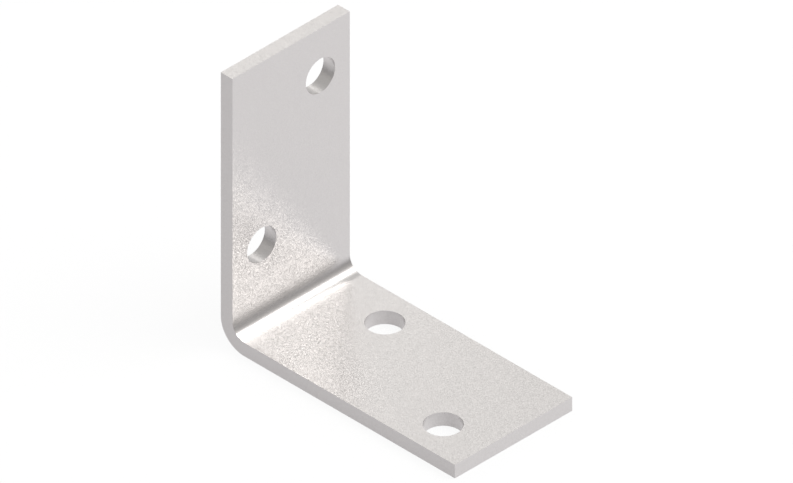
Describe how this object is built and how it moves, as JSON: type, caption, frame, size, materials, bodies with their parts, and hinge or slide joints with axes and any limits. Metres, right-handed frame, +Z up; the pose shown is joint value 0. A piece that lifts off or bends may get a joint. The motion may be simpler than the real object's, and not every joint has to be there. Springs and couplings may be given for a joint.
{
  "type": "angle bracket",
  "caption": "Right-angle bracket folded from one strip of galvanised steel sheet, with staggered screw holes in both legs.",
  "frame": {"origin": "the point at mid-width where the planes of the two outer faces cross, just outside the fold", "axes": "+X runs out along the base leg, +Y across the width, +Z up the upright leg; the outer faces lie on z = 0 and x = 0"},
  "size_m": [0.04, 0.02, 0.04],
  "materials": {
    "galvanised_sheet": "satin"
  },
  "bodies": {
    "root": {"bracket": "galvanised_sheet"}
  },
  "joints": []
}
